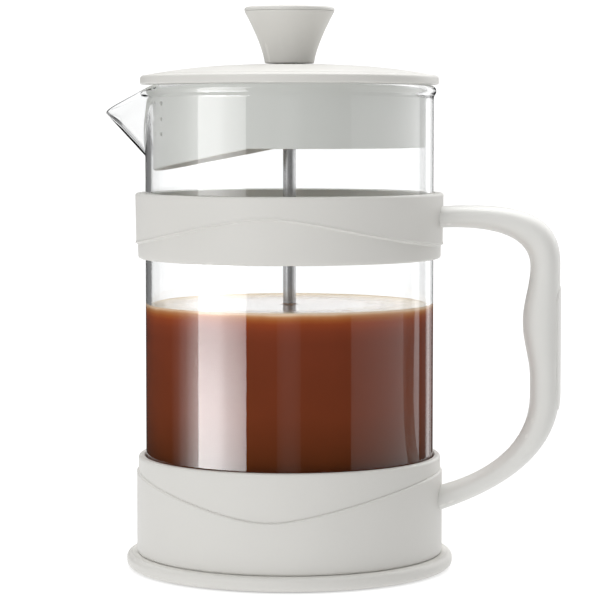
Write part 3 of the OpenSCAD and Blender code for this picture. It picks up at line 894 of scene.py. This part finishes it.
def add_skirt():
    """The strainer skirt, whose lower edge slopes down to the spout."""
    angles = np.arange(360) / 360 * TAU
    short = RIM_Z - SKIRT_SHORT
    fall = (SKIRT_SLOPE_X - SKIRT_R * np.cos(angles)) / (SKIRT_R + SKIRT_SLOPE_X)
    low_z = short + (SKIRT_Z - short) * np.clip(fall, 0, 1)
    inner, start = SKIRT_R - SKIRT_WALL, low_z + 0.8
    edge = [(inner, 0.5), (inner + 0.15, 0.15), (inner + 0.5, 0), (SKIRT_R - 0.5, 0)]
    edge += [(SKIRT_R - 0.15, 0.15), (SKIRT_R, 0.5), (SKIRT_R, 0.8)]
    rows = [(r, low_z + up) for r, up in edge]
    shares = (0.2, 0.4, 0.6, 0.8, 1)
    rows += [(SKIRT_R, start + (SKIRT_TOP - start) * t) for t in shares]
    rows += [(inner, start + (SKIRT_TOP - start) * t) for t in reversed(shares)]
    faces = grid_faces(len(rows), len(angles), close_rows=True)
    mesh = build_mesh("lid_skirt", ring_points(rows, angles), faces)
    mesh = cut(mesh, [rods_mesh("holes", strainer_holes(inner), HOLE_R, 20)])
    add_object("lid_skirt", mesh, [plastic], "lid", ["strainer_skirt"])


def add_bush():
    bore, flange_r, barrel_r, flange_z = ROD_R + 0.05, 6.5, 4.5, BUSH_Z + 1.8
    bush = [
        (bore, BUSH_Z, 0.15), (flange_r, BUSH_Z, 0.3), (flange_r, flange_z, 0.3),
        (barrel_r, flange_z, 0.1), (barrel_r, BUSH_TOP, 0.3), (bore, BUSH_TOP, 0.3),
    ]
    mesh = turned_mesh("rod_bush", rounded(bush), 96)
    add_object("rod_bush", mesh, [turned_steel], "bush", ["guide_bush"])


# ---- Plunger ----

KNOB_FOOT_R, KNOB_FLARE = 8.4, 1.4
INSERT_R, INSERT_DEEP = 4, 10.5
CAP_EDGE, CAP_DOME = 1.1, 0.4
THREAD_R, THREAD_DEEP, THREAD_PITCH, THREAD_TOP = 2.0, 0.28, 0.7, 21.5


def add_knob():
    body_h, flare = KNOB_TOP - KNOB_Z, KNOB_R - KNOB_FOOT_R
    outline = [(0, KNOB_Z + INSERT_DEEP), (INSERT_R, KNOB_Z + INSERT_DEEP), (INSERT_R, KNOB_Z)]
    outline += [(KNOB_FOOT_R - 0.35, KNOB_Z), (KNOB_FOOT_R - 0.1, KNOB_Z + 0.1)]
    outline.append((KNOB_FOOT_R, KNOB_Z + 0.35))
    side = np.linspace(0.04, 0.985, 30)
    outline += [(KNOB_FOOT_R + flare * t**KNOB_FLARE, KNOB_Z + body_h * t) for t in side]
    outline += [(KNOB_R - 0.12, KNOB_TOP - 0.05), (KNOB_R - 0.4, KNOB_TOP), (0, KNOB_TOP)]
    mesh = turned_mesh("knob_body", outline, closed=False, sharp=50)
    add_object("knob_body", mesh, [plastic], "plunger", ["knob"])

    seam_z, edge_z, edge_r = KNOB_TOP + 0.02, CAP_TOP - CAP_DOME, KNOB_R - CAP_EDGE
    outline = [(0, seam_z), (KNOB_R - 0.45, seam_z), (KNOB_R - 0.15, KNOB_TOP + 0.08)]
    outline.append((KNOB_R - 0.02, KNOB_TOP + 0.25))
    outline += arc(edge_r, edge_z - CAP_EDGE, CAP_EDGE, 0, 82, 9)
    across = (12.5, 10.5, 8.0, 5.0, 2.5)
    outline += [(r, edge_z + CAP_DOME * (1 - (r / edge_r) ** 2)) for r in across]
    outline.append((0, CAP_TOP))
    mesh = turned_mesh("knob_top", outline, closed=False, sharp=50)
    add_object("knob_top", mesh, [plastic], "plunger", ["knob_cap"])


def add_rod():
    outline = [(0, ROD_Z), (THREAD_R - 0.4, ROD_Z)]
    root_r = THREAD_R - THREAD_DEEP
    for z in np.arange(ROD_Z + 0.3, THREAD_TOP, THREAD_PITCH):
        outline += [(root_r, z), (THREAD_R, z + THREAD_DEEP), (THREAD_R, z + 0.42)]
    outline += [(ROD_R - 0.2, THREAD_TOP + 0.5), (ROD_R, THREAD_TOP + 0.8)]
    outline.append((ROD_R, THREAD_TOP + 1.1))
    outline += [(ROD_R, z) for z in np.linspace(30, KNOB_Z - 1, 8)]
    outline += [(ROD_R, KNOB_Z - 0.2), (THREAD_R, KNOB_Z), (THREAD_R, ROD_TOP - 0.3)]
    outline += [(THREAD_R - 0.3, ROD_TOP), (0, ROD_TOP)]
    mesh = turned_mesh("rod", outline, 72, closed=False, sharp=32)
    add_object("rod", mesh, [turned_steel], "plunger", ["plunger_rod"])

    collar_r = 6
    collar = [
        (2.2, COLLAR_Z, 0.1), (collar_r, COLLAR_Z, 0.25), (collar_r, COLLAR_TOP - 1, 0.3),
        (collar_r - 1, COLLAR_TOP, 0.3), (ROD_R, COLLAR_TOP, 0.1),
    ]
    mesh = turned_mesh("rod_hub", rounded(collar), 96)
    add_object("rod_hub", mesh, [turned_steel], "plunger", ["rod_collar"])


def unit_rows(vectors):
    return vectors / np.linalg.norm(vectors, axis=1)[:, None]


def add_spring(turns=118, per_turn=14, sides=7, wire=0.32):
    """The fine coil that lies round the plate's edge and wipes the glass."""
    height = (SPRING_TOP - SPRING_Z) / 2
    ring_r, middle = SPRING_OUT - height, (SPRING_TOP + SPRING_Z) / 2
    t = np.arange(turns * per_turn) / (turns * per_turn) * TAU
    radial = np.stack([np.cos(t), np.sin(t), 0 * t], 1)
    up = np.array([0, 0, 1.0])
    out = radial * np.cos(turns * t)[:, None] + up * np.sin(turns * t)[:, None]
    path = radial * ring_r + out * (height - wire) + up * middle
    along = unit_rows(np.roll(path, -1, 0) - np.roll(path, 1, 0))
    side = unit_rows(np.cross(along, out))
    over = np.cross(side, along)
    points = []
    for k in range(len(t)):
        for i in range(sides):
            a = TAU * i / sides
            points.append(path[k] + wire * (math.cos(a) * over[k] + math.sin(a) * side[k]))
    mesh = build_mesh("edge_coil", points, grid_faces(len(t), sides, close_rows=True))
    add_object("edge_coil", mesh, [turned_steel], "plunger", ["edge_spring"])


def finish_cad_nodes():
    """Materials for the CAD nodes that are shown as they are."""
    looks = {"knob_insert": brass, "mesh_screen": steel_cloth}
    for name in ("handle_screws", "spiral_plate", "cross_plate", "cross_plate_nut"):
        looks[name] = plate_steel
    for name, look in looks.items():
        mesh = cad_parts[name].data
        mesh.materials.clear()
        mesh.materials.append(look)


# ---- Stage ----

# the camera, in metres and degrees; headings on the stage are measured from it
TURN = math.radians(8.203)
DISTANCE, EYE_Z = 0.8483, 0.1526
PITCH, YAW = math.radians(3.467), math.radians(0.242)
SENSOR_MM, IMAGE_PX = 36, 600
FOCAL_PX, SHIFT_Y = 2490.0, -0.05
BACK = Vector((-math.sin(TURN), math.cos(TURN), 0))
RIGHT = Vector((math.cos(TURN), math.sin(TURN), 0))

# soft lights of the room as (heading, height above the horizon, sharpness, power)
SOFT_LIGHTS = [(0, 90, 2, 0.55), (-32, 20, 8, 2.35), (135, 20, 8, 2.3), (180, 68, 8, 4.7)]
WHITE, FLOOR_GLOW, MIRROR_DARK = 1.15, 1.1, 0.04
FLOOR_R, FLOOR_FADE = 4, (0.05, 0.058)

# the room in reflections inside the glass: (angle from straight behind, right positive; level)
ROOM_INSIDE = [
    (-180, 0.3), (-110, 0.5), (-60, 0.8), (-38, 0.8), (-34, 0.3), (-9, 0.3),
    (-7, 1.6), (15, 1.4), (17, 1.0), (80, 1.0), (140, 0.2), (180, 0.3),
]

# light panels stand this far from the axis, in metres; their stops are (share of width, level)
PANEL_AT, PANEL_TOP = 0.27, 0.4
LEFT_WINDOW = [
    (0, 0.45), (0.1, 0.63), (0.22, 0.74), (0.3, 1), (0.56, 1),
    (0.575, 0.42), (0.66, 0.24), (0.75, 0.1), (0.88, 0.02), (1, 0),
]
RIGHT_WINDOW = [
    (0, 0.4), (0.3, 0.75), (0.62, 1.1), (0.675, 1.1), (0.69, 0.05),
    (0.8, 0.08), (0.85, 1.1), (0.89, 1.1), (0.93, 0.45), (1, 0.3),
]
FRONT_WINDOW = [(0, 0.5), (0.3, 1), (0.7, 1), (1, 0.5)]
EVEN = [(0, 1)]
# (height in metres, level) of the left window
LEFT_HEIGHTS = [(0.035, 1), (0.06, 0.75), (0.08, 0.62), (0.14, 0.42)]
# like a lamp behind a grid, the left window fades as a ray turns sideways from square on, while
# the sine of that turn grows from 0.152 to 0.168; it keeps a white block off the beaker's edge
GRID = (1 - 0.168, 1 - 0.152)


def add_camera():
    data = bpy.data.cameras.new("camera")
    camera = in_scene("camera", data)
    data.sensor_width = SENSOR_MM
    data.lens = FOCAL_PX * SENSOR_MM / IMAGE_PX
    data.shift_y = SHIFT_Y
    data.clip_start, data.clip_end = 0.01, 50
    camera.location = -BACK * DISTANCE + Vector((0, 0, EYE_Z))
    look = BACK * math.cos(YAW) + RIGHT * math.sin(YAW)
    look = look * math.cos(PITCH) - Vector((0, 0, math.sin(PITCH)))
    camera.rotation_euler = look.to_track_quat("-Z", "Y").to_euler()
    bpy.context.scene.camera = camera


def heading(degrees):
    """A level direction, turned to the right of the way back to the camera."""
    a = math.radians(degrees)
    return -BACK * math.cos(a) + RIGHT * math.sin(a)


class Rays:
    """Shares for the kinds of ray that meet the stage, so each kind can have its own brightness."""

    def __init__(self, s):
        path = s.add("LightPath").outputs
        singular, through = path["Is Singular Ray"], path["Is Transmission Ray"]
        outside = s.math("LESS_THAN", path["Transmission Depth"], 0.5)
        self.seen = s.math("MAXIMUM", path["Is Camera Ray"], through)
        mirrored = s.math("MULTIPLY", singular, path["Is Glossy Ray"])
        self.mirror = s.math("MULTIPLY", mirrored, outside)
        within = s.math("MULTIPLY", singular, s.math("SUBTRACT", 1.0, outside))
        bounced = s.math("MINIMUM", path["Glossy Depth"], 1.0)
        self.inside = s.math("MULTIPLY", bounced, s.math("MAXIMUM", through, within))
        self.soft = s.math("SUBTRACT", 1.0, singular)

    def level(self, s, soft, where):
        """Brightness of the room for a ray: soft is for soft light, where is its direction."""
        level = pick(s, self.seen, soft, WHITE)
        level = pick(s, self.mirror, level, MIRROR_DARK)
        return pick(s, self.inside, level, room_inside(s, where))


def pick(s, share, first, second):
    return s.add("Mix", {0: share, 2: first, 3: second}, data_type="FLOAT").outputs[0]


def dot(s, where, way):
    return s.add("VectorMath", {0: where, 1: tuple(way)}, operation="DOT_PRODUCT").outputs["Value"]


def room_inside(s, where):
    """The brightness of ROOM_INSIDE in the direction of where."""
    angle = s.math("DEGREES", s.math("ARCTAN2", dot(s, where, RIGHT), dot(s, where, BACK)))
    share = s.spread(angle, 0, 1, (-180, 180))
    # a colour ramp holds levels up to 1, so they are halved in it
    stops = [((turned + 180) / 360, (level / 2,) * 3) for turned, level in ROOM_INSIDE]
    return s.math("MULTIPLY", s.ramp(share, stops), 2.0)


def add_floor():
    """A white sweep: lit by the room under the object, glowing white further out."""
    mesh = bpy.data.meshes.new("floor")
    shell = bmesh.new()
    bmesh.ops.create_circle(shell, cap_ends=True, segments=96, radius=FLOOR_R)
    shell.to_mesh(mesh)
    shell.free()
    s = Shader("pale_floor")
    tone = s.blend(s.spread(s.noise(400), 0, 1), (0.90, 0.90, 0.90), (0.93, 0.93, 0.93))
    matt = s.add("BsdfDiffuse", {"Color": tone}).outputs[0]
    level = Rays(s).level(s, FLOOR_GLOW, s.place)
    glow = s.add("Emission", {"Strength": level}).outputs[0]
    away = s.add("VectorMath", {0: s.place}, operation="LENGTH").outputs["Value"]
    far = s.spread(away, 0, 1, FLOOR_FADE)
    mesh.materials.append(s.finish(s.add("MixShader", {0: far, 1: matt, 2: glow}).outputs[0]))
    floor = in_scene("floor", mesh)


def past_grid(s):
    """1 for rays close to the panel's normal and 0 for those further off to its sides."""
    normal = s.add("NewGeometry").outputs["Normal"]
    along = s.add("VectorMath", {0: normal, 1: (0, 0, 1)}, operation="CROSS_PRODUCT")
    facing = s.add("LayerWeight", {"Normal": along.outputs["Vector"]}).outputs["Facing"]
    return s.spread(facing, 0, 1, GRID)


def panel_mesh(name, start, end, stops, heights):
    """A curved upright sheet between two headings, with its brightness in a point attribute."""
    columns, rows = 145, 41
    points, values = [], []
    for z in np.linspace(0, PANEL_TOP, rows):
        for share in np.linspace(0, 1, columns):
            way = heading(start + (end - start) * share) * PANEL_AT
            points.append((way.x, way.y, z))
            values.append(np.interp(share, *zip(*stops)) * np.interp(z, *zip(*heights)))
    mesh = bpy.data.meshes.new(name)
    mesh.from_pydata(points, [], grid_faces(rows, columns, close_columns=False))
    mesh.attributes.new("level", "FLOAT", "POINT").data.foreach_set("value", values)
    return mesh


def add_panel(name, start, end, powers, stops, heights=EVEN, steep_only=False):
    """A light panel beside the object, not seen by the camera.

    powers are its strength in the first sharp reflection, in the glass and in soft light.
    """
    s = Shader(name)
    rays = Rays(s)
    mirror, inside, soft = powers
    sharp = s.math("MULTIPLY", rays.mirror, past_grid(s)) if steep_only else rays.mirror
    power = s.math("ADD", s.math("MULTIPLY", sharp, mirror), s.math("MULTIPLY", rays.soft, soft))
    power = s.math("ADD", power, s.math("MULTIPLY", rays.inside, inside))
    level = s.add("Attribute", attribute_name="level").outputs["Fac"]
    light = s.add("Emission", {"Strength": s.math("MULTIPLY", power, level)}).outputs[0]
    clear = s.add("BsdfTransparent").outputs[0]
    mesh = panel_mesh(name, start, end, stops, heights)
    mesh.materials.append(s.finish(s.add("AddShader", {0: clear, 1: light}).outputs[0]))
    panel = in_scene(name, mesh)
    panel.visible_camera = panel.visible_shadow = False


def add_world():
    """White behind the object, soft light from a few sides, and a dark room in reflections."""
    world = bpy.data.worlds.new("studio")
    bpy.context.scene.world = world
    s = Shader("studio", world)
    way = s.coordinates["Generated"]
    light = 0.0
    for turned, raised, sharpness, power in SOFT_LIGHTS:
        rise = math.radians(raised)
        aim = heading(turned) * math.cos(rise) + Vector((0, 0, math.sin(rise)))
        lobe = s.math("POWER", s.math("MAXIMUM", dot(s, way, aim), 0.0), sharpness)
        light = s.math("ADD", light, s.math("MULTIPLY", lobe, power))
    level = Rays(s).level(s, light, way)
    glow = s.add("Background", {"Color": (1, 1, 1, 1), "Strength": level})
    s.add("OutputWorld", {"Surface": glow.outputs[0]})


def add_stage():
    add_camera()
    add_floor()
    add_world()
    left, right, front = (17.7, 1.2, 0.3), (1.4, 0.3, 0.0), (0.35, 0.0, 0.0)
    add_panel("left_window", -31, -100, left, LEFT_WINDOW, LEFT_HEIGHTS, steep_only=True)
    add_panel("right_window", 45, 150, right, RIGHT_WINDOW)
    add_panel("front_window", -9, 8, front, FRONT_WINDOW)
    bpy.context.scene.view_settings.view_transform = "Standard"


add_foot()
add_soft_parts()
add_cup_and_band()
add_handle()
add_glass()
add_coffee()
add_lid()
add_skirt()
add_bush()
add_knob()
add_rod()
add_spring()
finish_cad_nodes()
add_stage()
